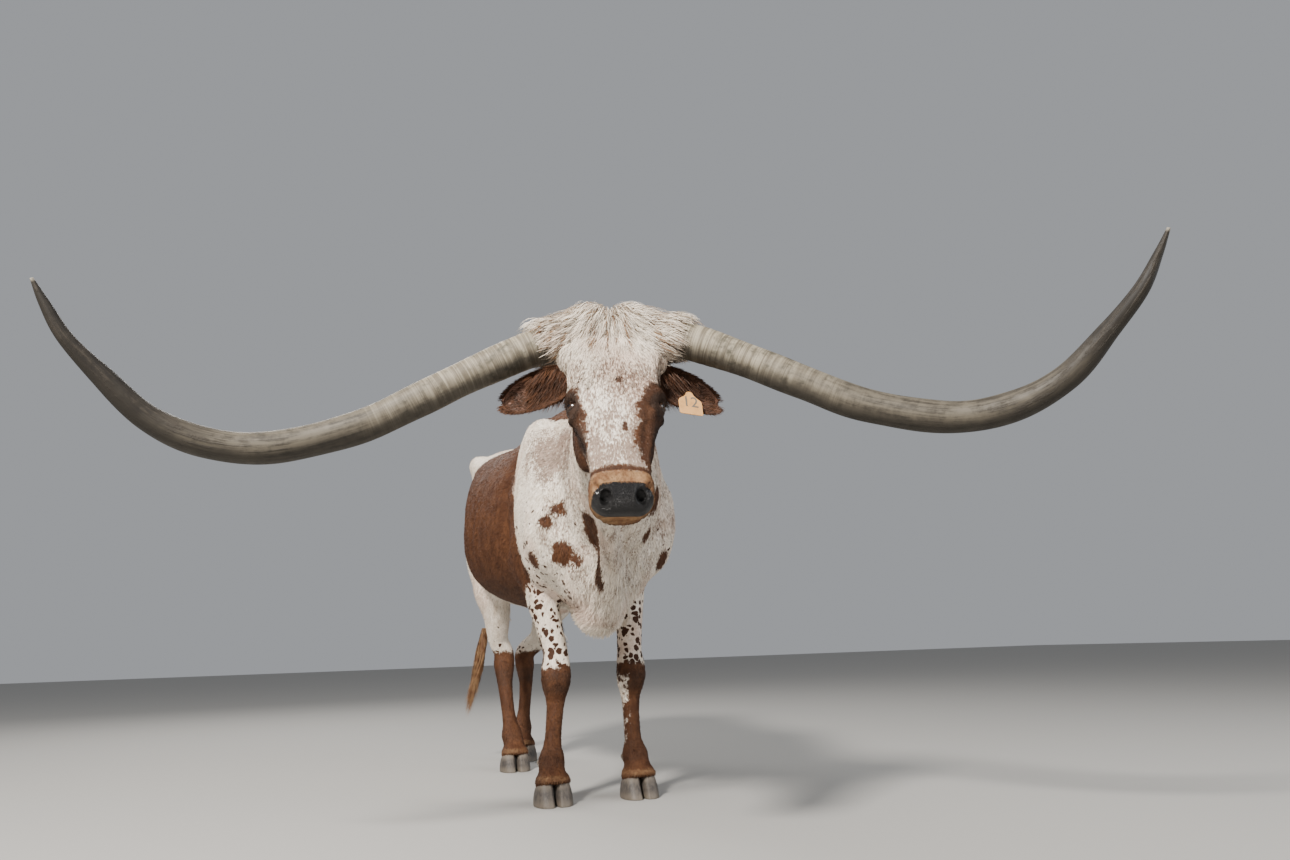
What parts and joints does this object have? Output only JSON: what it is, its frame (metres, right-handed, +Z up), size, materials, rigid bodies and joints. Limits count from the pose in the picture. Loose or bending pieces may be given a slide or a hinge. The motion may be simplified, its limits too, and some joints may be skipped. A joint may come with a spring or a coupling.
{
  "type": "texas longhorn",
  "caption": "Life-size standing longhorn steer, head turned to its right, with very long curved horns, a hairy poll, an ear tag and cloven hooves.",
  "frame": {"origin": "on the floor, under the middle of the whole animal's box", "axes": "+Z up; the body faces -Y and its left side is +X"},
  "size_m": [2.4468, 3.4264, 1.5145],
  "materials": {
    "hide": "short hair, red-brown and cream patches with spots",
    "long_hair": "long coarse cream and tan hair",
    "ear_hair": "dark brown hair over skin",
    "horn": "ivory at the base to dark grey-brown at the tip, ringed and streaked",
    "hoof": "dull grey horn with fine growth lines",
    "eye": "wet dark brown",
    "tag": "tan moulded plastic with plain numbers"
  },
  "bodies": {
    "root": {"claw_fore_left_inner": "hoof", "claw_fore_left_outer": "hoof", "claw_fore_right_inner": "hoof", "claw_fore_right_outer": "hoof", "claw_hind_left_inner": "hoof", "claw_hind_left_outer": "hoof", "claw_hind_right_inner": "hoof", "claw_hind_right_outer": "hoof", "dewclaw_fore_left_inner": "hoof", "dewclaw_fore_left_outer": "hoof", "dewclaw_fore_right_inner": "hoof", "dewclaw_fore_right_outer": "hoof", "dewclaw_hind_left_inner": "hoof", "dewclaw_hind_left_outer": "hoof", "dewclaw_hind_right_inner": "hoof", "dewclaw_hind_right_outer": "hoof", "ear_left": "ear_hair", "ear_right": "ear_hair", "eye_left": "eye", "eye_right": "eye", "foreleg_left_lower": "hide", "foreleg_left_upper": "hide", "foreleg_right_lower": "hide", "foreleg_right_upper": "hide", "head": "hide", "hindleg_left_lower": "hide", "hindleg_left_upper": "hide", "hindleg_right_lower": "hide", "hindleg_right_upper": "hide", "horn_left": "horn", "horn_right": "horn", "neck": "hide", "poll": "long_hair", "tag_button": "tag", "tag_plate": "tag", "tail": "hide", "tail_switch": "long_hair", "torso": "hide"}
  },
  "joints": []
}
